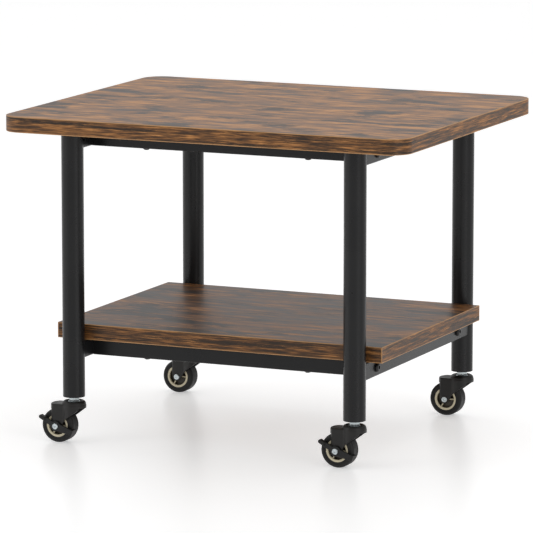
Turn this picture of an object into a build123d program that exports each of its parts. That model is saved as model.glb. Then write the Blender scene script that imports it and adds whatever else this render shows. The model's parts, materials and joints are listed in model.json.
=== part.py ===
from build123d import *
from math import acos, atan2, cos, degrees, hypot, radians, sin, tan
import os

# Mobile printer stand: a low two-deck trolley on four swivel casters.
#
# Frame: millimetres, +Z up, origin on the floor under the middle of the top board.
# +X runs along the long side, -Y is the front, and the two front casters have brakes.
# At rest every caster trails towards -X, so the wheel axles lie along Y.

# ---------------------------------------------------------------- driving dimensions
STAND_HEIGHT = 378.0

TOP_WIDTH = 495.0
TOP_DEPTH = 405.0
TOP_CORNER_RADIUS = 25.0
SHELF_WIDTH = 402.0
SHELF_DEPTH = 298.0
BOARD_THICKNESS = 18.0
BAND_THICKNESS = 0.8
BAND_ARRIS = 0.4

POST_X = 174.0
POST_Y = 163.0
POST_RADIUS = 12.7
POST_WALL = 1.2

RAIL_SIZE = 20.0
RAIL_WALL = 1.2
RAIL_CORNER = 1.6
CROSS_RAIL_Y = 122.8
WELD_GAP = 0.02

WHEEL_RADIUS = 19.75
WHEEL_WIDTH = 17.5
CASTER_TRAIL = 17.5
CASTER_HEIGHT = 54.0
LOWER_RAIL_BOTTOM = 98.0

# ---------------------------------------------------------------- derived levels
TOP_UNDERSIDE = STAND_HEIGHT - BOARD_THICKNESS
POST_BOTTOM = CASTER_HEIGHT
POST_LENGTH = TOP_UNDERSIDE - POST_BOTTOM
SHELF_UNDERSIDE = LOWER_RAIL_BOTTOM + RAIL_SIZE
RAIL_HALF = RAIL_SIZE / 2
RAIL_BORE = RAIL_SIZE - 2 * RAIL_WALL
RAIL_BORE_CORNER = RAIL_CORNER - RAIL_WALL
AXLE_Z = WHEEL_RADIUS

LEVELS = {"upper": TOP_UNDERSIDE - RAIL_HALF, "lower": SHELF_UNDERSIDE - RAIL_HALF}
SIDES = {"left": -1, "right": 1}
ENDS = {"front": -1, "rear": 1}

# ---------------------------------------------------------------- fasteners
# M6 button-head bolts run through each side rail into the end of a cross rail.
BOLT_RADIUS = 3.0
BOLT_HEAD_RADIUS = 5.25
BOLT_HEAD_HEIGHT = 3.2
BOLT_LENGTH = 35.0
BOLT_SOCKET_FLATS = 4.0
BOLT_SOCKET_DEPTH = 1.8
BOLT_CLEARANCE = 0.25
INSERT_LENGTH = 16.0
INSERT_CORNER = 0.8

# Wafer-head wood screws rise through each cross rail into the board above it.
SCREW_X = 100.0
SCREW_RADIUS = 2.0
SCREW_HEAD_RADIUS = 4.75
SCREW_HEAD_HEIGHT = 2.4
SCREW_BITE = 12.0
SCREW_POINT = 3.0
SCREW_RECESS_LENGTH = 4.4
SCREW_RECESS_WIDTH = 1.0
SCREW_RECESS_DEPTH = 1.2
SCREW_CLEARANCE = 0.25

# Gap that keeps a threaded shank just clear of the hole that holds it.
THREAD_GAP = 0.05

# ---------------------------------------------------------------- caster swivel
PLUG_LENGTH = 22.0
PLUG_CHAMFER = 0.8
STEM_RADIUS = 4.0
STEM_TOP = POST_BOTTOM + 20.0
STEM_BOTTOM = 38.4
COLLAR_FLATS = 11.0
COLLAR_CHAMFER = 0.5
WASHER_RADIUS = 6.8
WASHER_THICKNESS = 0.9
CLIP_RADIUS = 6.2
CLIP_THICKNESS = 1.2
CLIP_MOUTH = 5.8
CLIP_GROOVE_RADIUS = 3.2
SWIVEL_GAP = 0.15
RUNNING_FIT = 0.05

# ---------------------------------------------------------------- caster fork
HEAD_RADIUS = 14.0
HEAD_BOTTOM = 41.0
HEAD_LEDGE = 0.4
HEAD_CREST = 49.2
HEAD_CREST_RADIUS = 10.8
HEAD_RECESS_RADIUS = 8.4
HEAD_RECESS_FLOOR = 47.4
HOOD_TOP = 45.3
HOOD_BULGE = 5.5
HOOD_CORNER = 2.0
HOOD_BLEND = 4.0
HOOD_ROUNDING = 1.4
FORK_HALF_WIDTH = 11.3
FORK_TIP_RADIUS = 5.0
CHEEK_SLOPE = 36.5
CHEEK_KNEE = (10.5, 7.3)
CHEEK_KNEE_ROUNDING = 8.0
CHEEK_FLARE = 12.0
WHEEL_SIDE_GAP = 0.5
WHEEL_TOP_GAP = 1.35
POCKET_BACK = -9.0

# ---------------------------------------------------------------- wheel and axle
AXLE_RADIUS = 2.5
RIVET_RADIUS = 3.4
RIVET_THICKNESS = 1.1
RIVET_HOLLOW_RADIUS = 1.1
RIVET_HOLLOW_DEPTH = 0.6
HUB_RADIUS = 4.4
HUB_SIDE_GAP = 0.3
RIM_RADIUS = 13.2
RIM_INNER_RADIUS = 10.6
RIM_FACE = 8.5
RIM_LIP_ROUNDING = 0.8
WEB_FACE = 3.0
RIB_FACE = 7.6
RIB_THICKNESS = 1.3
RIB_OVERLAP = 0.5
RIB_COUNT = 3
TYRE_SHOULDER = 3.0
TYRE_SIDE_GROOVE = 0.35
TYRE_GROOVE_RADIUS = 15.4

# ---------------------------------------------------------------- brake lever
LEVER_GAP = 0.15
LEVER_THICKNESS = 2.4
LEVER_ROUNDING = 0.6
LEVER_BOSS_RADIUS = 6.0
LEVER_ARM_RADIUS = 2.9
PEDAL_REACH = 20.9
PEDAL_ANGLE = 151.0
PEDAL_RADIUS = 2.2
PEDAL_PAD_START = 16.8
PEDAL_PAD_OUTWARD = 1.4
PEDAL_PAD_INWARD = 2.2
PEDAL_NECK_REACH = 14.6
PEDAL_NECK_ANGLE = 152.0
PEDAL_TIP_RADIUS = 1.6
SHOE_RADIUS = 20.3
SHOE_THICKNESS = 1.7
SHOE_INNER_END = 4.0
SHOE_TOP_ANGLE = -10.0
SHOE_BOTTOM_ANGLE = -27.0
SHOE_ROOT_TOP_ANGLE = 27.0
SHOE_ROOT_BOTTOM_ANGLE = -60.0

os.makedirs("parts", exist_ok=True)


def save(piece, name):
    """Label a finished piece and write it under the same name."""
    piece.part.label = name
    export_step(piece.part, f"parts/{name}.step")


def side_view(x, z, y=0.0):
    """Plane seen from the front: local X is +X, local Y is +Z, and it faces -Y."""
    return Plane(origin=(x, y, z), x_dir=(1, 0, 0), z_dir=(0, -1, 0))


def polar(radius, angle):
    """Point at a radius and an angle in degrees."""
    return (radius * cos(radians(angle)), radius * sin(radians(angle)))


# ================================================================ boards
def board_screw_places(z):
    """The four places where screws enter a board, at one height."""
    return [(sx * SCREW_X, sy * CROSS_RAIL_Y, z) for sx in (-1, 1) for sy in (-1, 1)]


def drill_for_screws(underside):
    """Blind pilot holes, slightly deeper than the screws bite."""
    depth = SCREW_BITE + 2 * SCREW_CLEARANCE
    with Locations(*board_screw_places(underside)):
        Cylinder(
            SCREW_RADIUS + THREAD_GAP,
            depth,
            align=(Align.CENTER, Align.CENTER, Align.MIN),
            mode=Mode.SUBTRACT,
        )


with BuildPart() as top_board:
    with BuildSketch(Plane.XY.offset(TOP_UNDERSIDE)):
        RectangleRounded(
            TOP_WIDTH - 2 * BAND_THICKNESS,
            TOP_DEPTH - 2 * BAND_THICKNESS,
            TOP_CORNER_RADIUS - BAND_THICKNESS,
        )
    extrude(amount=BOARD_THICKNESS)
    drill_for_screws(TOP_UNDERSIDE)
save(top_board, "top_board")

# One band wraps the whole rounded edge of the top.
with BuildPart() as top_edge_band:
    with BuildSketch(Plane.XY.offset(TOP_UNDERSIDE)):
        RectangleRounded(TOP_WIDTH, TOP_DEPTH, TOP_CORNER_RADIUS)
    extrude(amount=BOARD_THICKNESS)
    outer_arrises = top_edge_band.faces().filter_by(Axis.Z).edges()
    fillet(outer_arrises, BAND_ARRIS)
    with BuildSketch(Plane.XY.offset(TOP_UNDERSIDE)):
        RectangleRounded(
            TOP_WIDTH - 2 * BAND_THICKNESS,
            TOP_DEPTH - 2 * BAND_THICKNESS,
            TOP_CORNER_RADIUS - BAND_THICKNESS,
        )
    extrude(amount=BOARD_THICKNESS, mode=Mode.SUBTRACT)
save(top_edge_band, "top_edge_band")

with BuildPart() as shelf_board:
    with BuildSketch(Plane.XY.offset(SHELF_UNDERSIDE)):
        Rectangle(SHELF_WIDTH - 2 * BAND_THICKNESS, SHELF_DEPTH - 2 * BAND_THICKNESS)
    extrude(amount=BOARD_THICKNESS)
    drill_for_screws(SHELF_UNDERSIDE)
save(shelf_board, "shelf_board")


def make_shelf_band(centre_x, centre_y, length_x, length_y, outward):
    """A straight strip on one side of the shelf, with its two outer arrises eased."""
    with BuildPart() as band:
        with BuildSketch(Plane.XY.offset(SHELF_UNDERSIDE)):
            with Locations((centre_x, centre_y)):
                Rectangle(length_x, length_y)
        extrude(amount=BOARD_THICKNESS)
        outer_face = band.faces().sort_by(outward)[-1]
        along = Axis.X if length_x > length_y else Axis.Y
        fillet(outer_face.edges().filter_by(along), BAND_ARRIS)
    return band


side_band_length = SHELF_DEPTH - 2 * BAND_THICKNESS
for end, sign in ENDS.items():
    middle = sign * (SHELF_DEPTH - BAND_THICKNESS) / 2
    outward = Axis((0, 0, 0), (0, sign, 0))
    save(
        make_shelf_band(0, middle, SHELF_WIDTH, BAND_THICKNESS, outward),
        f"shelf_edge_band_{end}",
    )
for side, sign in SIDES.items():
    middle = sign * (SHELF_WIDTH - BAND_THICKNESS) / 2
    outward = Axis((0, 0, 0), (sign, 0, 0))
    save(
        make_shelf_band(middle, 0, BAND_THICKNESS, side_band_length, outward),
        f"shelf_edge_band_{side}",
    )


# ================================================================ steel frame
def make_post(x, y):
    """A round steel tube from the caster up to the underside of the top."""
    with BuildPart() as post:
        with BuildSketch(Plane.XY.offset(POST_BOTTOM)):
            with Locations((x, y)):
                Circle(POST_RADIUS)
                Circle(POST_RADIUS - POST_WALL, mode=Mode.SUBTRACT)
        extrude(amount=POST_LENGTH)
    return post


def square_tube_section():
    """Hollow square section shared by every rail."""
    RectangleRounded(RAIL_SIZE, RAIL_SIZE, RAIL_CORNER)
    RectangleRounded(RAIL_BORE, RAIL_BORE, RAIL_BORE_CORNER, mode=Mode.SUBTRACT)


def make_side_rail(x, z):
    """A rail along Y, coped at both ends to the round posts it is welded to."""
    with BuildPart() as rail:
        with BuildSketch(Plane.XZ):
            with Locations((x, z)):
                square_tube_section()
        extrude(amount=POST_Y, both=True)
        with Locations((x, -POST_Y, z), (x, POST_Y, z)):
            Cylinder(POST_RADIUS + WELD_GAP, 2 * RAIL_SIZE, mode=Mode.SUBTRACT)
        with Locations((x, -CROSS_RAIL_Y, z), (x, CROSS_RAIL_Y, z)):
            Cylinder(
                BOLT_RADIUS + BOLT_CLEARANCE,
                2 * RAIL_SIZE,
                rotation=(0, 90, 0),
                mode=Mode.SUBTRACT,
            )
    return rail


cross_rail_half = POST_X - RAIL_HALF


def make_cross_rail(y, z):
    """A rail along X, clamped between the two side rails and drilled for two screws."""
    with BuildPart() as rail:
        with BuildSketch(Plane.YZ):
            with Locations((y, z)):
                square_tube_section()
        extrude(amount=cross_rail_half, both=True)
        with Locations((-SCREW_X, y, z), (SCREW_X, y, z)):
            Cylinder(SCREW_RADIUS + SCREW_CLEARANCE, 2 * RAIL_SIZE, mode=Mode.SUBTRACT)
    return rail


for end, sy in ENDS.items():
    for side, sx in SIDES.items():
        save(make_post(sx * POST_X, sy * POST_Y), f"post_{end}_{side}")
for level, height in LEVELS.items():
    for side, sx in SIDES.items():
        save(make_side_rail(sx * POST_X, height), f"side_rail_{level}_{side}")
    for end, sy in ENDS.items():
        save(make_cross_rail(sy * CROSS_RAIL_Y, height), f"cross_rail_{level}_{end}")


def cross_rail_ends(distance):
    """Planes across the eight cross-rail ends, each facing out of the stand."""
    return [
        Plane(origin=(sx * distance, sy * CROSS_RAIL_Y, z), x_dir=(0, 1, 0), z_dir=(sx, 0, 0))
        for sx in (-1, 1)
        for sy in (-1, 1)
        for z in LEVELS.values()
    ]


# ================================================================ fasteners
# A threaded block fills each end of every cross rail and takes its bolt.
with BuildPart() as cross_rail_inserts:
    with BuildSketch(*cross_rail_ends(cross_rail_half - INSERT_LENGTH)):
        RectangleRounded(RAIL_BORE, RAIL_BORE, INSERT_CORNER)
        Circle(BOLT_RADIUS + THREAD_GAP, mode=Mode.SUBTRACT)
    extrude(amount=INSERT_LENGTH)
save(cross_rail_inserts, "cross_rail_inserts")

# One bolt, standing on its bearing face with the head above and the shank below.
with BuildPart() as bolt:
    with BuildSketch(Plane.XZ):
        with BuildLine():
            tip = Line((0, -BOLT_LENGTH), (BOLT_RADIUS, -BOLT_LENGTH))
            shank = Line(tip @ 1, (BOLT_RADIUS, 0))
            seat = Line(shank @ 1, (BOLT_HEAD_RADIUS, 0))
            rim = Line(seat @ 1, (BOLT_HEAD_RADIUS, BOLT_HEAD_HEIGHT / 4))
            crown = Line((BOLT_HEAD_RADIUS / 2, BOLT_HEAD_HEIGHT), (0, BOLT_HEAD_HEIGHT))
            TangentArc(rim @ 1, crown @ 0, tangent=rim % 1)
            Line(crown @ 1, tip @ 0)
        make_face()
    revolve(axis=Axis.Z)
    with BuildSketch(Plane.XY.offset(BOLT_HEAD_HEIGHT)):
        RegularPolygon(BOLT_SOCKET_FLATS / 2, 6, major_radius=False)
    extrude(amount=-BOLT_SOCKET_DEPTH, mode=Mode.SUBTRACT)

with BuildPart() as cross_rail_bolts:
    with Locations(*cross_rail_ends(POST_X + RAIL_HALF)):
        add(bolt.part)
save(cross_rail_bolts, "cross_rail_bolts")

# One wood screw, with its head below the origin and its point up.
screw_length = RAIL_SIZE + SCREW_BITE
with BuildPart() as screw:
    with BuildSketch(Plane.XZ):
        with BuildLine():
            point = Line((0, screw_length), (SCREW_RADIUS, screw_length - SCREW_POINT))
            shank = Line(point @ 1, (SCREW_RADIUS, 0))
            seat = Line(shank @ 1, (SCREW_HEAD_RADIUS, 0))
            crown = Line(
                (SCREW_HEAD_RADIUS / 2, -SCREW_HEAD_HEIGHT), (0, -SCREW_HEAD_HEIGHT)
            )
            RadiusArc(seat @ 1, crown @ 0, SCREW_HEAD_RADIUS)
            Line(crown @ 1, point @ 0)
        make_face()
    revolve(axis=Axis.Z)
    with BuildSketch(Plane.XY.offset(-SCREW_HEAD_HEIGHT)):
        Rectangle(SCREW_RECESS_LENGTH, SCREW_RECESS_WIDTH)
        Rectangle(SCREW_RECESS_WIDTH, SCREW_RECESS_LENGTH)
    extrude(amount=SCREW_RECESS_DEPTH, mode=Mode.SUBTRACT)

with BuildPart() as top_board_screws:
    with Locations(*board_screw_places(TOP_UNDERSIDE - RAIL_SIZE)):
        add(screw.part)
save(top_board_screws, "top_board_screws")

with BuildPart() as shelf_screws:
    with Locations(*board_screw_places(SHELF_UNDERSIDE - RAIL_SIZE)):
        add(screw.part)
save(shelf_screws, "shelf_screws")

# A threaded plug is fixed in the foot of each post and takes the caster stem.
with BuildPart() as post_plugs:
    with BuildSketch(Plane.XY.offset(POST_BOTTOM)):
        with GridLocations(2 * POST_X, 2 * POST_Y, 2, 2):
            Circle(POST_RADIUS - POST_WALL - THREAD_GAP)
            Circle(STEM_RADIUS + THREAD_GAP, mode=Mode.SUBTRACT)
    extrude(amount=PLUG_LENGTH)
    upper_rims = post_plugs.faces().filter_by(Axis.Z).sort_by(Axis.Z)[4:].edges()
    chamfer(upper_rims, PLUG_CHAMFER)
save(post_plugs, "post_plugs")


# ================================================================ casters
WASHER_BOTTOM = HEAD_RECESS_FLOOR + SWIVEL_GAP
COLLAR_BOTTOM = WASHER_BOTTOM + WASHER_THICKNESS
CLIP_TOP = HEAD_BOTTOM - SWIVEL_GAP


def make_stem(x, y):
    """Threaded stem with a hexagonal collar, grooved near its foot for a clip."""
    with BuildPart() as stem:
        with BuildSketch(Plane.XY.offset(STEM_BOTTOM)):
            with Locations((x, y)):
                Circle(STEM_RADIUS)
        extrude(amount=STEM_TOP - STEM_BOTTOM)
        chamfer(stem.edges().filter_by(GeomType.CIRCLE), COLLAR_CHAMFER)
        with BuildSketch(Plane.XY.offset(COLLAR_BOTTOM)):
            with Locations((x, y)):
                RegularPolygon(COLLAR_FLATS / 2, 6, major_radius=False)
        extrude(amount=POST_BOTTOM - COLLAR_BOTTOM)
        with BuildSketch(Plane.XY.offset(CLIP_TOP)):
            with Locations((x, y)):
                Circle(STEM_RADIUS + THREAD_GAP)
                Circle(CLIP_GROOVE_RADIUS, mode=Mode.SUBTRACT)
        extrude(amount=-CLIP_THICKNESS, mode=Mode.SUBTRACT)
    return stem


def make_washer(x, y):
    """Plain washer between the collar and the swivel head."""
    with BuildPart() as washer:
        with BuildSketch(Plane.XY.offset(WASHER_BOTTOM)):
            with Locations((x, y)):
                Circle(WASHER_RADIUS)
                Circle(STEM_RADIUS + THREAD_GAP, mode=Mode.SUBTRACT)
        extrude(amount=WASHER_THICKNESS)
    return washer


def make_clip(x, y):
    """Open retaining clip that holds the fork on the stem."""
    with BuildPart() as clip:
        with BuildSketch(Plane.XY.offset(CLIP_TOP)):
            with Locations((x, y)):
                Circle(CLIP_RADIUS)
                Circle(CLIP_GROOVE_RADIUS + THREAD_GAP, mode=Mode.SUBTRACT)
            with Locations((x + CLIP_RADIUS, y)):
                Rectangle(2 * CLIP_RADIUS, CLIP_MOUTH, mode=Mode.SUBTRACT)
        extrude(amount=-CLIP_THICKNESS)
    return clip


REAR_EDGE = -CASTER_TRAIL - FORK_TIP_RADIUS
WHEEL_GAP = WHEEL_WIDTH + 2 * WHEEL_SIDE_GAP


def make_fork(x, y):
    """Moulded swivel head, wheel hood and two cheeks, all in one piece."""
    side = side_view(x, 0, y)
    knee = (-CASTER_TRAIL + CHEEK_KNEE[0], AXLE_Z + CHEEK_KNEE[1])
    slope_top_x = knee[0] + (HEAD_BOTTOM - knee[1]) / tan(radians(CHEEK_SLOPE))
    knee_angle = degrees(atan2(CHEEK_KNEE[1], CHEEK_KNEE[0]))
    spread = degrees(acos(FORK_TIP_RADIUS / hypot(*CHEEK_KNEE)))
    touch = polar(FORK_TIP_RADIUS, knee_angle - spread)
    ring_radius = HEAD_RADIUS - HEAD_LEDGE
    axle_centre = (x - CASTER_TRAIL, y, AXLE_Z)
    with BuildPart() as fork:
        # Side outline: round foot, upright rear edge, flat hood, and a bent front edge.
        with BuildSketch(side):
            with BuildLine():
                Polyline(
                    (-CASTER_TRAIL, AXLE_Z),
                    (REAR_EDGE, AXLE_Z),
                    (REAR_EDGE - HOOD_BULGE, AXLE_Z + CHEEK_FLARE),
                    (REAR_EDGE - HOOD_BULGE, HOOD_TOP),
                    (HEAD_RADIUS, HOOD_TOP),
                    (HEAD_RADIUS, HEAD_BOTTOM),
                    (slope_top_x, HEAD_BOTTOM),
                    knee,
                    (-CASTER_TRAIL + touch[0], AXLE_Z + touch[1]),
                    close=True,
                )
            outline = make_face()
            fillet(outline.vertices().sort_by_distance((*knee, 0))[0], CHEEK_KNEE_ROUNDING)
            with Locations((-CASTER_TRAIL, AXLE_Z)):
                Circle(FORK_TIP_RADIUS)
        extrude(amount=HEAD_RADIUS, both=True)
        # Plan outline: the round head runs into the hood, whose rear end is bowed.
        with BuildSketch(Plane((x, y, 0))) as plan:
            with BuildLine():
                bow = ThreePointArc(
                    (REAR_EDGE, -FORK_HALF_WIDTH),
                    (REAR_EDGE - HOOD_BULGE, 0),
                    (REAR_EDGE, FORK_HALF_WIDTH),
                )
                Polyline(bow @ 1, (0, FORK_HALF_WIDTH), (0, -FORK_HALF_WIDTH), bow @ 0)
            make_face()
            Circle(HEAD_RADIUS)
            fillet(plan.vertices().group_by(Axis.X)[0], HOOD_CORNER)
            fillet(plan.vertices().group_by(Axis.X)[-1], HOOD_BLEND)
        extrude(amount=HOOD_TOP, mode=Mode.INTERSECT)
        fillet(fork.faces().sort_by(Axis.Z)[-1].edges(), HOOD_ROUNDING)
        # Swivel head: a domed ring standing on the hood, with a shallow dish for the washer.
        with BuildSketch(side):
            with BuildLine():
                base = Line((0, HEAD_BOTTOM), (ring_radius, HEAD_BOTTOM))
                wall = Line(base @ 1, (ring_radius, HOOD_TOP))
                dome = TangentArc(wall @ 1, (HEAD_CREST_RADIUS, HEAD_CREST), tangent=wall % 1)
                dish = Line(dome @ 1, (HEAD_RECESS_RADIUS, HEAD_RECESS_FLOOR))
                floor = Line(dish @ 1, (0, HEAD_RECESS_FLOOR))
                Line(floor @ 1, base @ 0)
            make_face()
        revolve(axis=Axis((x, y, 0), (0, 0, 1)))
        # Room for the wheel, and an open pocket under the head for the clip.
        with Locations(axle_centre):
            Cylinder(
                WHEEL_RADIUS + WHEEL_TOP_GAP,
                WHEEL_GAP,
                rotation=(90, 0, 0),
                mode=Mode.SUBTRACT,
            )
        with BuildSketch(side):
            with BuildLine():
                Polyline(
                    (POCKET_BACK, 0),
                    (POCKET_BACK, HEAD_BOTTOM),
                    (HEAD_RADIUS, HEAD_BOTTOM),
                    (HEAD_RADIUS, 0),
                    close=True,
                )
            make_face()
        extrude(amount=WHEEL_GAP / 2, both=True, mode=Mode.SUBTRACT)
        with Locations((x, y, HEAD_BOTTOM)):
            Cylinder(STEM_RADIUS + RUNNING_FIT, 2 * HEAD_RADIUS, mode=Mode.SUBTRACT)
        with Locations(axle_centre):
            Cylinder(
                AXLE_RADIUS + RUNNING_FIT / 2,
                2 * HEAD_RADIUS,
                rotation=(90, 0, 0),
                mode=Mode.SUBTRACT,
            )
    return fork


def make_axle(x, y, shoulder):
    """Headed axle, with its front head at the given distance from the wheel's middle."""
    axle_x = x - CASTER_TRAIL
    front = y - shoulder
    back = y + FORK_HALF_WIDTH
    with BuildPart() as axle:
        with BuildSketch(Plane.XY.offset(AXLE_Z)):
            with BuildLine():
                Polyline(
                    (axle_x, front - RIVET_THICKNESS),
                    (axle_x + RIVET_RADIUS, front - RIVET_THICKNESS),
                    (axle_x + RIVET_RADIUS, front),
                    (axle_x + AXLE_RADIUS, front),
                    (axle_x + AXLE_RADIUS, back),
                    (axle_x + RIVET_RADIUS, back),
                    (axle_x + RIVET_RADIUS, back + RIVET_THICKNESS),
                    (axle_x, back + RIVET_THICKNESS),
                    close=True,
                )
            make_face()
        revolve(axis=Axis((axle_x, y, AXLE_Z), (0, 1, 0)))
        end_faces = axle.faces().filter_by(Axis.Y).sort_by(Axis.Y)
        fillet(end_faces[0].edges() + end_faces[-1].edges(), RIVET_THICKNESS / 2)
        with BuildSketch(side_view(axle_x, AXLE_Z, front - RIVET_THICKNESS)):
            Circle(RIVET_HOLLOW_RADIUS)
        extrude(amount=-RIVET_HOLLOW_DEPTH, mode=Mode.SUBTRACT)
    return axle


def make_rim(x, y):
    """Moulded wheel centre: hub, recessed web, three ribs on each face and outer ring."""
    hub_face = WHEEL_GAP / 2 - HUB_SIDE_GAP
    bore = AXLE_RADIUS + RUNNING_FIT
    with BuildPart() as rim:
        with BuildSketch(Plane((x - CASTER_TRAIL, y, AXLE_Z))):
            with BuildLine():
                Polyline(
                    (bore, 0),
                    (bore, hub_face),
                    (HUB_RADIUS, hub_face),
                    (HUB_RADIUS, WEB_FACE),
                    (RIM_INNER_RADIUS, WEB_FACE),
                    (RIM_INNER_RADIUS, RIM_FACE),
                    (RIM_RADIUS, RIM_FACE),
                    (RIM_RADIUS, 0),
                    close=True,
                )
            make_face()
            mirror(about=Plane.XZ)
        revolve(axis=Axis((x - CASTER_TRAIL, y, AXLE_Z), (0, 1, 0)))
        with BuildSketch(side_view(x - CASTER_TRAIL, AXLE_Z, y)):
            with PolarLocations((HUB_RADIUS + RIM_INNER_RADIUS) / 2, RIB_COUNT):
                Rectangle(RIM_INNER_RADIUS - HUB_RADIUS + 2 * RIB_OVERLAP, RIB_THICKNESS)
        extrude(amount=RIB_FACE, both=True)
        ring_edges = rim.edges().filter_by(GeomType.CIRCLE)
        inner_edges = ring_edges.filter_by(lambda e: abs(e.radius - RIM_INNER_RADIUS) < 0.01)
        inner_lips = inner_edges.group_by(Axis.Y)
        fillet(inner_lips[0] + inner_lips[-1], RIM_LIP_ROUNDING)
    return rim


def make_tyre(x, y):
    """Solid rubber tyre with round shoulders and one fine groove in each side."""
    half = WHEEL_WIDTH / 2
    with BuildPart() as tyre:
        with BuildSketch(Plane((x - CASTER_TRAIL, y, AXLE_Z))):
            with BuildLine():
                Polyline(
                    (RIM_RADIUS, 0),
                    (RIM_RADIUS, RIM_FACE),
                    (RIM_RADIUS + TYRE_SHOULDER, half),
                    (WHEEL_RADIUS, half),
                    (WHEEL_RADIUS, 0),
                    close=True,
                )
            section = make_face()
            fillet(section.vertices().group_by(Axis.X)[-1].sort_by(Axis.Y)[-1:], TYRE_SHOULDER)
            with Locations((TYRE_GROOVE_RADIUS, half)):
                Circle(TYRE_SIDE_GROOVE, mode=Mode.SUBTRACT)
            mirror(about=Plane.XZ)
        revolve(axis=Axis((x - CASTER_TRAIL, y, AXLE_Z), (0, 1, 0)))
    return tyre


def make_pedal_pad(x, y, inner_face):
    """Rounded pad under the foot, thicker than the lever on both sides."""
    with BuildPart() as pad:
        with BuildSketch(side_view(x, AXLE_Z, y - inner_face + PEDAL_PAD_INWARD)):
            with BuildLine():
                CenterArc(polar(PEDAL_REACH, PEDAL_ANGLE), PEDAL_RADIUS, 0, 360)
                CenterArc(polar(PEDAL_PAD_START, PEDAL_ANGLE), PEDAL_RADIUS, 0, 360)
            make_hull()
        extrude(amount=PEDAL_PAD_INWARD + LEVER_THICKNESS + PEDAL_PAD_OUTWARD)
        fillet(pad.faces().filter_by(Axis.Y).edges(), LEVER_ROUNDING)
    return pad


def make_brake_lever(x, y):
    """Side lever on the axle: a pedal behind the wheel and a shoe over the tread."""
    inner_face = FORK_HALF_WIDTH + LEVER_GAP
    shoe_outer = SHOE_RADIUS + SHOE_THICKNESS
    shoe_sweep = SHOE_TOP_ANGLE - SHOE_BOTTOM_ANGLE
    axle_x = x - CASTER_TRAIL
    pedal_pad = make_pedal_pad(axle_x, y, inner_face)
    with BuildPart() as lever:
        with BuildSketch(side_view(axle_x, AXLE_Z, y - inner_face)):
            # Pedal arm, from the pivot out to the pad.
            with BuildLine():
                CenterArc((0, 0), LEVER_ARM_RADIUS, 0, 360)
                CenterArc(polar(PEDAL_NECK_REACH, PEDAL_NECK_ANGLE), LEVER_ARM_RADIUS, 0, 360)
                CenterArc(polar(PEDAL_REACH, PEDAL_ANGLE), PEDAL_TIP_RADIUS, 0, 360)
            make_hull()
            # Shoe arm, widening to the arc that carries the shoe.
            with BuildLine():
                outer = CenterArc((0, 0), shoe_outer, SHOE_BOTTOM_ANGLE, shoe_sweep)
                Polyline(
                    outer @ 1,
                    polar(LEVER_BOSS_RADIUS, SHOE_ROOT_TOP_ANGLE),
                    (0, 0),
                    polar(LEVER_BOSS_RADIUS, SHOE_ROOT_BOTTOM_ANGLE),
                    outer @ 0,
                )
            make_face()
            Circle(LEVER_BOSS_RADIUS)
            Circle(AXLE_RADIUS + RUNNING_FIT, mode=Mode.SUBTRACT)
        extrude(amount=LEVER_THICKNESS)
        # The shoe turns inwards from the arm and lies just clear of the tread.
        with BuildSketch(side_view(axle_x, AXLE_Z, y - inner_face)):
            with BuildLine():
                inside = CenterArc((0, 0), SHOE_RADIUS, SHOE_BOTTOM_ANGLE, shoe_sweep)
                outside = CenterArc((0, 0), shoe_outer, SHOE_BOTTOM_ANGLE, shoe_sweep)
                Line(inside @ 0, outside @ 0)
                Line(inside @ 1, outside @ 1)
            make_face()
        extrude(amount=SHOE_INNER_END - inner_face)
        outer_face = lever.faces().filter_by(Axis.Y).sort_by(Axis.Y)[0]
        fillet(outer_face.outer_wire().edges(), LEVER_ROUNDING)
        add(pedal_pad.part)
    return lever


plain_shoulder = FORK_HALF_WIDTH
braked_shoulder = FORK_HALF_WIDTH + 2 * LEVER_GAP + LEVER_THICKNESS

for end, sy in ENDS.items():
    for side, sx in SIDES.items():
        post_x = sx * POST_X
        post_y = sy * POST_Y
        caster = f"caster_{end}_{side}"
        braked = end == "front"
        save(make_stem(post_x, post_y), f"{caster}_stem")
        save(make_washer(post_x, post_y), f"{caster}_washer")
        save(make_clip(post_x, post_y), f"{caster}_clip")
        save(make_fork(post_x, post_y), f"{caster}_fork")
        shoulder = braked_shoulder if braked else plain_shoulder
        save(make_axle(post_x, post_y, shoulder), f"{caster}_axle")
        save(make_rim(post_x, post_y), f"{caster}_rim")
        save(make_tyre(post_x, post_y), f"{caster}_tyre")
        if braked:
            save(make_brake_lever(post_x, post_y), f"{caster}_brake_lever")
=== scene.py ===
from math import cos, radians, sin

import bpy
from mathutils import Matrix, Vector
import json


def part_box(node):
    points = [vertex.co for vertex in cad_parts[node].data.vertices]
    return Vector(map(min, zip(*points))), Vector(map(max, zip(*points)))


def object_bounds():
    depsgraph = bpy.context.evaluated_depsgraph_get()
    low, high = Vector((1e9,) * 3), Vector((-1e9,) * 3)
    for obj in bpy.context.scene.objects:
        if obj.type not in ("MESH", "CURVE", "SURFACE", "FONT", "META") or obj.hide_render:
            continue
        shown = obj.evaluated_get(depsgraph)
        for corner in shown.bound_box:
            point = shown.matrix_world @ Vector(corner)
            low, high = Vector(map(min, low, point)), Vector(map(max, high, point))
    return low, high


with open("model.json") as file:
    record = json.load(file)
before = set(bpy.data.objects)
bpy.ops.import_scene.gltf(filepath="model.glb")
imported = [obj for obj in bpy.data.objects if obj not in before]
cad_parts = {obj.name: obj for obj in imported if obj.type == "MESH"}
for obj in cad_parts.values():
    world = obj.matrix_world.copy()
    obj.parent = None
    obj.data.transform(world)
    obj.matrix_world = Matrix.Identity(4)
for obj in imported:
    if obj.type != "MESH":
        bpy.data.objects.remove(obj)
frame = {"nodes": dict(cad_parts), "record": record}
cad_low, cad_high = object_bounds()

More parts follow.
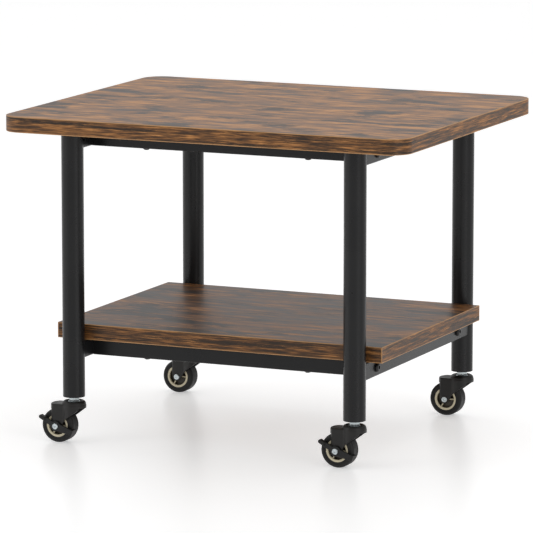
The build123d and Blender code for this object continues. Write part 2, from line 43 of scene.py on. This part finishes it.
# ---------------------------------------------------------------- view and studio
CAMERA_AZIMUTH = 23.92
CAMERA_ELEVATION = 9.49
CAMERA_DISTANCE = 5.358
CAMERA_LENS = 311.2
AIM_RIGHT = -0.005
AIM_UP = 0.1885

FLOOR_SIZE = 300.0
FLOOR_GLOW = 0.41
BACK_WALL_LIGHT = 0.74
FRONT_WALL_LIGHT = 0.40
FRONT_WALL_FADE = (-0.3, 0.8)
RIGHT_WALL_SHADE = 0.55
RIGHT_WALL_FADE = (0.5, 0.95)
SHADE_BEARING = 40.0

# ---------------------------------------------------------------- colours (sRGB, 0 to 255)
WOOD_GOLD = (196, 136, 76)
WOOD_LIGHT = (146, 98, 52)
WOOD_MIDDLE = (104, 68, 36)
WOOD_DARK = (52, 36, 22)
FACE_PATCH = (24, 22, 21)
BAND_PATCH = (38, 28, 19)
BAND_ARRIS = (196, 148, 98)
COAT_BLACK = (18, 18, 19)
SCREW_BLACK = (14, 14, 15)
MOULDED_BLACK = (14, 12, 10)
LEVER_BLACK = (12, 12, 11)
RIM_CREAM = (210, 200, 172)
# painted shade for the deep recess of the wheel rim, between its ring and hub
RIM_PAINTED_SHADE = (66, 58, 44)
TYRE_BLACK = (9, 9, 8)
ZINC_BRIGHT = (214, 222, 224)

# ---------------------------------------------------------------- wood print (metres, 0 to 1)
WOOD_RAMP = ((0.43, WOOD_DARK), (0.485, WOOD_MIDDLE), (0.535, WOOD_LIGHT), (0.60, WOOD_GOLD))
GRAIN_WEIGHT = 0.42
FIBRE_WEIGHT = 0.26
HAIR_WEIGHT = 0.14
BROAD_WEIGHT = 0.18
PATCH_BREAKS = 0.35
PATCH_FADE = 0.07
PATCH_COVER = 0.9
FACE_STREAK = (0.06, 0.012)
FACE_PATCH_SIZE = (0.09, 0.034)
FACE_PATCH_EDGE = 0.175
BAND_STREAK = (0.032, 0.0017)
BAND_PATCH_SIZE = (0.12, 0.005)
ARRIS_INNER = 0.0011
ARRIS_OUTER = 0.0006


def linear(colour, alpha=1.0):
    """An sRGB colour as the linear values that shaders take."""
    values = []
    for channel in colour:
        c = channel / 255
        values.append(c / 12.92 if c <= 0.04045 else ((c + 0.055) / 1.055) ** 2.4)
    return (*values, alpha)


# ================================================================ node helpers
class Shader:
    """A material under construction: adds nodes and wires them up."""

    def __init__(self, name):
        self.material = bpy.data.materials.new(name)
        self.material.use_nodes = True
        self.tree = self.material.node_tree
        self.tree.nodes.clear()
        self.surface = self.tree.nodes.new("ShaderNodeBsdfPrincipled")
        output = self.tree.nodes.new("ShaderNodeOutputMaterial")
        self.tree.links.new(self.surface.outputs["BSDF"], output.inputs["Surface"])
        place = self.tree.nodes.new("ShaderNodeTexCoord")
        self.place = place.outputs["Object"]

    def put(self, socket, value):
        """Link a socket to an output, or set it to a plain value."""
        if isinstance(value, bpy.types.NodeSocket):
            self.tree.links.new(value, socket)
        else:
            socket.default_value = value

    def math(self, operation, a, b=0.0):
        node = self.tree.nodes.new("ShaderNodeMath")
        node.operation = operation
        self.put(node.inputs[0], a)
        self.put(node.inputs[1], b)
        return node.outputs[0]

    def split(self, vector):
        node = self.tree.nodes.new("ShaderNodeSeparateXYZ")
        self.put(node.inputs[0], vector)
        return node.outputs

    def join(self, x, y, z):
        node = self.tree.nodes.new("ShaderNodeCombineXYZ")
        for socket, value in zip(node.inputs, (x, y, z)):
            self.put(socket, value)
        return node.outputs[0]

    def stretch(self, vector, scale):
        node = self.tree.nodes.new("ShaderNodeVectorMath")
        node.operation = "MULTIPLY"
        self.put(node.inputs[0], vector)
        self.put(node.inputs[1], scale)
        return node.outputs[0]

    def noise(self, vector, scale=1.0, detail=4.0, roughness=0.55, distortion=0.0):
        node = self.tree.nodes.new("ShaderNodeTexNoise")
        self.put(node.inputs["Vector"], vector)
        self.put(node.inputs["Scale"], scale)
        self.put(node.inputs["Detail"], detail)
        self.put(node.inputs["Roughness"], roughness)
        self.put(node.inputs["Distortion"], distortion)
        return node.outputs["Fac"]

    def remap(self, value, low, high, new_low=0.0, new_high=1.0):
        node = self.tree.nodes.new("ShaderNodeMapRange")
        node.interpolation_type = "SMOOTHSTEP"
        for index, item in enumerate((value, low, high, new_low, new_high)):
            self.put(node.inputs[index], item)
        return node.outputs[0]

    def ramp(self, value, *stops):
        node = self.tree.nodes.new("ShaderNodeValToRGB")
        self.put(node.inputs[0], value)
        elements = node.color_ramp.elements
        while len(elements) < len(stops):
            elements.new(0.5)
        for element, (position, colour) in zip(elements, stops):
            element.position = position
            element.color = linear(colour)
        return node.outputs[0]

    def mix(self, factor, a, b):
        node = self.tree.nodes.new("ShaderNodeMix")
        node.data_type = "RGBA"
        self.put(node.inputs[0], factor)
        self.put(node.inputs[6], a)
        self.put(node.inputs[7], b)
        return node.outputs[2]

    def bump(self, height, distance, strength=1.0):
        node = self.tree.nodes.new("ShaderNodeBump")
        self.put(node.inputs["Strength"], strength)
        self.put(node.inputs["Distance"], distance)
        self.put(node.inputs["Height"], height)
        self.put(self.surface.inputs["Normal"], node.outputs[0])

    def finish(self, **sockets):
        """Set the shader's own sockets by name, with spaces as underscores."""
        for name, value in sockets.items():
            self.put(self.surface.inputs[name.replace("_", " ")], value)
        return self.material


# ================================================================ materials
def wood_grain(shader, along, across, seed, streak, patch, lift, patch_edge, patch_colour):
    """Colour and tone of a rustic printed wood.

    streak and patch are sizes along and across the grain. lift makes the print paler, and a lower
    patch_edge gives more dark patches.
    """
    sway = shader.noise(shader.join(shader.math("MULTIPLY", along, 0.4 / patch[0]),
                                    shader.math("MULTIPLY", across, 0.4 / patch[1]), seed), detail=2.0)
    drift = shader.math("MULTIPLY", shader.math("SUBTRACT", sway, 0.5), 2.2 * streak[1])
    place = shader.join(along, shader.math("ADD", across, drift), seed)
    grain = shader.noise(shader.stretch(place, (1 / streak[0], 1 / streak[1], 1.0)),
                         detail=3.0, roughness=0.6)
    fibre = shader.noise(shader.stretch(place, (2.0 / streak[0], 4.0 / streak[1], 1.0)),
                         detail=3.0, roughness=0.6)
    hair = shader.noise(shader.stretch(place, (4.0 / streak[0], 16.0 / streak[1], 1.0)),
                        detail=2.0, roughness=0.6)
    broad = shader.noise(shader.stretch(place, (0.3 / streak[0], 0.3 / streak[1], 2.0)), detail=2.0)
    stain = shader.noise(shader.stretch(place, (1 / patch[0], 1 / patch[1], 1.0)),
                         detail=4.0, roughness=0.55, distortion=0.3)
    tone = lift
    for layer, weight in ((grain, GRAIN_WEIGHT), (fibre, FIBRE_WEIGHT), (hair, HAIR_WEIGHT),
                          (broad, BROAD_WEIGHT)):
        tone = shader.math("ADD", tone, shader.math("MULTIPLY", layer, weight))
    colour = shader.ramp(tone, *WOOD_RAMP)
    breaks = shader.math("MULTIPLY", shader.math("ADD", fibre, hair), PATCH_BREAKS)
    ragged = shader.math("SUBTRACT", stain, breaks)
    mask = shader.remap(ragged, patch_edge, patch_edge + PATCH_FADE)
    colour = shader.mix(shader.math("MULTIPLY", mask, PATCH_COVER), colour, linear(patch_colour))
    return colour, tone


def laminate(name, seed, lift):
    """Board faces: grain along X, with the shallow texture pressed into the laminate."""
    shader = Shader(name)
    x, y, _ = shader.split(shader.place)
    colour, tone = wood_grain(shader, x, y, seed, FACE_STREAK, FACE_PATCH_SIZE,
                              lift, FACE_PATCH_EDGE, FACE_PATCH)
    shader.bump(tone, 0.00012, 0.5)
    roughness = shader.remap(tone, 0.3, 0.7, 0.34, 0.46)
    return shader.finish(Base_Color=colour, Roughness=roughness, IOR=1.45)


def edge_band(name, node_name, seed, lift, patch_edge, corner=None):
    """Edge band: the same wood print, with pale cut arrises, and pale corners where it is cut."""
    low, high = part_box(node_name)
    middle, half = (low.z + high.z) / 2, (high.z - low.z) / 2
    shader = Shader(name)
    x, y, z = shader.split(shader.place)
    along = shader.math("ADD", x, y)
    colour, tone = wood_grain(shader, along, z, seed, BAND_STREAK, BAND_PATCH_SIZE,
                              lift, patch_edge, BAND_PATCH)
    height = shader.math("ABSOLUTE", shader.math("SUBTRACT", z, middle))
    arris = shader.remap(height, half - ARRIS_INNER, half - ARRIS_OUTER)
    if corner:
        beside = [shader.remap(shader.math("ABSOLUTE", place), edge - ARRIS_INNER, edge - ARRIS_OUTER)
                  for place, edge in zip((x, y), corner)]
        arris = shader.math("MAXIMUM", arris, shader.math("MULTIPLY", *beside))
    worn = shader.math("MULTIPLY", arris, shader.remap(tone, 0.35, 0.6, 0.6, 0.95))
    colour = shader.mix(worn, colour, linear(BAND_ARRIS))
    shader.bump(tone, 0.00012, 0.5)
    roughness = shader.remap(tone, 0.3, 0.7, 0.38, 0.52)
    return shader.finish(Base_Color=colour, Roughness=roughness, IOR=1.38)


def powder_coat():
    """Satin black powder coat with a fine orange-peel texture."""
    shader = Shader("powder_coat_black")
    peel = shader.noise(shader.place, scale=900.0, detail=3.0)
    cloud = shader.noise(shader.place, scale=14.0, detail=4.0)
    dark = linear(COAT_BLACK)
    pale = linear(tuple(c + 5 for c in COAT_BLACK))
    colour = shader.mix(shader.remap(cloud, 0.35, 0.65), dark, pale)
    shader.bump(peel, 0.00006, 0.5)
    roughness = shader.remap(cloud, 0.3, 0.7, 0.24, 0.31)
    return shader.finish(Base_Color=colour, Roughness=roughness, IOR=1.34)


def black_screws():
    """Black oxide on fasteners, a little glossier than the frame."""
    shader = Shader("screws_black")
    stain = shader.noise(shader.place, scale=420.0, detail=4.0)
    colour = shader.mix(stain, linear(SCREW_BLACK), linear(tuple(c + 14 for c in SCREW_BLACK)))
    shader.bump(stain, 0.00003, 0.4)
    roughness = shader.remap(stain, 0.3, 0.7, 0.25, 0.42)
    return shader.finish(Base_Color=colour, Roughness=roughness, Metallic=0.35)


def moulded_plastic(name, colour, spread, rough_low, rough_high):
    """Moulded plastic: slight flow marks, spark-eroded texture and soft sheen."""
    shader = Shader(name)
    spark = shader.noise(shader.place, scale=2600.0, detail=2.0)
    flow = shader.noise(shader.stretch(shader.place, (60.0, 60.0, 140.0)), detail=4.0, distortion=0.6)
    pale = tuple(c + spread for c in colour)
    tint = shader.mix(shader.remap(flow, 0.35, 0.68), linear(colour), linear(pale))
    shader.bump(spark, 0.00003, 0.5)
    roughness = shader.remap(flow, 0.3, 0.7, rough_low, rough_high)
    return shader.finish(Base_Color=tint, Roughness=roughness, IOR=1.43)


def wheel_rim():
    """Cream moulded rim, with painted shade darkening the recess between its ring and hub."""
    low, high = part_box("caster_rear_right_rim")
    middle, half = (low.y + high.y) / 2, (high.y - low.y) / 2
    shader = Shader("rim_plastic")
    y = shader.split(shader.place)[1]
    depth = shader.math("ABSOLUTE", shader.math("SUBTRACT", shader.math("ABSOLUTE", y), middle))
    spark = shader.noise(shader.place, scale=2600.0, detail=2.0)
    cloud = shader.noise(shader.place, scale=300.0, detail=4.0)
    reach = shader.math("ADD", depth, shader.math("MULTIPLY", shader.math("SUBTRACT", cloud, 0.5), 0.002))
    # Painted shade: the colour darkens deep in the recess towards the web and hub, standing in for the
    # shadow there.
    outside_painted_shade = shader.remap(reach, half - 0.0032, half - 0.0008)
    pale = shader.mix(cloud, linear(tuple(c - 14 for c in RIM_CREAM)), linear(RIM_CREAM))
    colour = shader.mix(outside_painted_shade, linear(RIM_PAINTED_SHADE), pale)
    shader.bump(spark, 0.00003, 0.5)
    roughness = shader.remap(cloud, 0.3, 0.7, 0.38, 0.5)
    return shader.finish(Base_Color=colour, Roughness=roughness, IOR=1.5)


def tyre_rubber():
    """Black rubber, dusty where it rolls on the floor."""
    shader = Shader("tyre_rubber")
    fine = shader.noise(shader.place, scale=1400.0, detail=4.0)
    dust = shader.noise(shader.place, scale=160.0, detail=6.0, roughness=0.7)
    pale = tuple(c + 16 for c in TYRE_BLACK)
    colour = shader.mix(shader.remap(dust, 0.45, 0.75), linear(TYRE_BLACK), linear(pale))
    shader.bump(fine, 0.00005, 0.5)
    roughness = shader.remap(dust, 0.3, 0.7, 0.46, 0.66)
    return shader.finish(Base_Color=colour, Roughness=roughness, IOR=1.43)


def bright_zinc():
    """Zinc plate on steel: faint crystal clouding and turned marks."""
    shader = Shader("zinc_plate")
    cloud = shader.noise(shader.place, scale=700.0, detail=4.0)
    marks = shader.noise(shader.stretch(shader.place, (300.0, 300.0, 5200.0)), detail=2.0)
    pale = linear(ZINC_BRIGHT)
    grey = linear(tuple(c - 46 for c in ZINC_BRIGHT))
    colour = shader.mix(shader.remap(cloud, 0.3, 0.7), grey, pale)
    shader.bump(marks, 0.00002, 0.4)
    roughness = shader.remap(cloud, 0.3, 0.7, 0.22, 0.36)
    return shader.finish(Base_Color=colour, Metallic=1.0, Roughness=roughness)


def floor_paper():
    """Plain pale studio floor, seen only from above."""
    shader = Shader("floor_paper")
    tree = shader.tree
    see_through = tree.nodes.new("ShaderNodeBsdfTransparent")
    side = tree.nodes.new("ShaderNodeNewGeometry")
    choose = tree.nodes.new("ShaderNodeMixShader")
    output = next(n for n in tree.nodes if n.type == "OUTPUT_MATERIAL")
    tree.links.new(side.outputs["Backfacing"], choose.inputs[0])
    tree.links.new(shader.surface.outputs["BSDF"], choose.inputs[1])
    tree.links.new(see_through.outputs[0], choose.inputs[2])
    tree.links.new(choose.outputs[0], output.inputs["Surface"])
    return shader.finish(
        Base_Color=(0.85, 0.85, 0.85, 1.0),
        Roughness=0.3,
        Emission_Color=(1.0, 1.0, 1.0, 1.0),
        Emission_Strength=FLOOR_GLOW,
    )


SLOT_MATERIALS = {
    "laminate_top": laminate("laminate_top", 0.0, 0.032),
    "laminate_shelf": laminate("laminate_shelf", 3.7, 0.0),
    "powder_coat": powder_coat(),
    "black_screws": black_screws(),
    "zinc": bright_zinc(),
    "caster_plastic": moulded_plastic("caster_plastic", MOULDED_BLACK, 9, 0.34, 0.5),
    "lever_plastic": moulded_plastic("lever_plastic", LEVER_BLACK, 8, 0.4, 0.55),
    "rim_plastic": wheel_rim(),
    "tyre": tyre_rubber(),
}
TOP_BAND = edge_band("edge_band_top", "top_edge_band", 11.3, -0.015, 0.21)
shelf_corner = (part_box("shelf_edge_band_right")[1].x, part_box("shelf_edge_band_rear")[1].y)
SHELF_BAND = edge_band("edge_band_shelf", "shelf_edge_band_front", 17.9, -0.024, 0.17, shelf_corner)


def material_for(node, slot):
    """The finish of one CAD node."""
    if slot == "edge_band":
        return TOP_BAND if node.startswith("top") else SHELF_BAND
    return SLOT_MATERIALS[slot]


for entry in frame["record"]["subparts"]:
    piece = frame["nodes"][entry["node"]]
    finish = material_for(entry["node"], entry["material_slot"])
    for index in range(len(piece.material_slots)):
        piece.material_slots[index].material = finish

# ================================================================ floor, light, camera
bpy.ops.mesh.primitive_plane_add(size=FLOOR_SIZE, location=(0, 0, cad_low.z))
floor = bpy.context.object
floor.name = "floor"
floor.data.materials.append(floor_paper())

azimuth, elevation = radians(CAMERA_AZIMUTH), radians(CAMERA_ELEVATION)
shade_bearing = radians(SHADE_BEARING)


def studio_walls():
    """World light: brighter behind the stand than on the camera's side, and dimmer at the back right."""
    world = bpy.data.worlds.new("studio")
    world.use_nodes = True
    tree = world.node_tree
    background = tree.nodes["Background"]
    background.inputs["Color"].default_value = (1, 1, 1, 1)
    direction = tree.nodes.new("ShaderNodeTexCoord").outputs["Generated"]
    product = tree.nodes.new("ShaderNodeMath")
    product.operation = "MULTIPLY"
    walls = (
        ((sin(azimuth), -cos(azimuth), 0.0), FRONT_WALL_FADE, BACK_WALL_LIGHT, FRONT_WALL_LIGHT),
        ((cos(shade_bearing), sin(shade_bearing), 0.0), RIGHT_WALL_FADE, 1.0, RIGHT_WALL_SHADE),
    )
    for factor, (towards, fade, away_light, towards_light) in zip(product.inputs, walls):
        facing = tree.nodes.new("ShaderNodeVectorMath")
        facing.operation = "DOT_PRODUCT"
        facing.inputs[1].default_value = towards
        level = tree.nodes.new("ShaderNodeMapRange")
        level.interpolation_type = "SMOOTHSTEP"
        for socket, value in zip(level.inputs[1:5], (*fade, away_light, towards_light)):
            socket.default_value = value
        tree.links.new(direction, facing.inputs[0])
        tree.links.new(facing.outputs["Value"], level.inputs[0])
        tree.links.new(level.outputs[0], factor)
    tree.links.new(product.outputs[0], background.inputs["Strength"])
    return world


bpy.context.scene.world = studio_walls()
bpy.context.scene.view_settings.view_transform = "Standard"


def softbox(name, place, target, size, power):
    """A large square area light aimed at a point."""
    light = bpy.data.lights.new(name, "AREA")
    light.shape = "SQUARE"
    light.size = size
    light.energy = power
    lamp = bpy.data.objects.new(name, light)
    lamp.location = place
    lamp.rotation_mode = "QUATERNION"
    lamp.rotation_quaternion = (Vector(target) - Vector(place)).to_track_quat("-Z", "Y")
    bpy.context.scene.collection.objects.link(lamp)


middle = (cad_low + cad_high) / 2
softbox("top_light", (0.2, 0.3, 2.6), middle, 1.8, 12.0)
softbox("right_light", (2.15, -1.3, 0.9), middle, 1.2, 12.0)
softbox("left_light", (-1.85, -1.75, 0.9), middle, 1.1, 8.0)

right = Vector((cos(azimuth), sin(azimuth), 0))
back = Vector((sin(azimuth) * cos(elevation), -cos(azimuth) * cos(elevation), sin(elevation)))
up = back.cross(right)
camera = bpy.data.objects.new("camera", bpy.data.cameras.new("camera"))
bpy.context.scene.collection.objects.link(camera)
camera.data.lens = CAMERA_LENS
camera.data.clip_end = 2 * FLOOR_SIZE
camera.location = right * AIM_RIGHT + up * AIM_UP + back * CAMERA_DISTANCE
camera.rotation_mode = "QUATERNION"
camera.rotation_quaternion = back.to_track_quat("Z", "Y")
bpy.context.scene.camera = camera
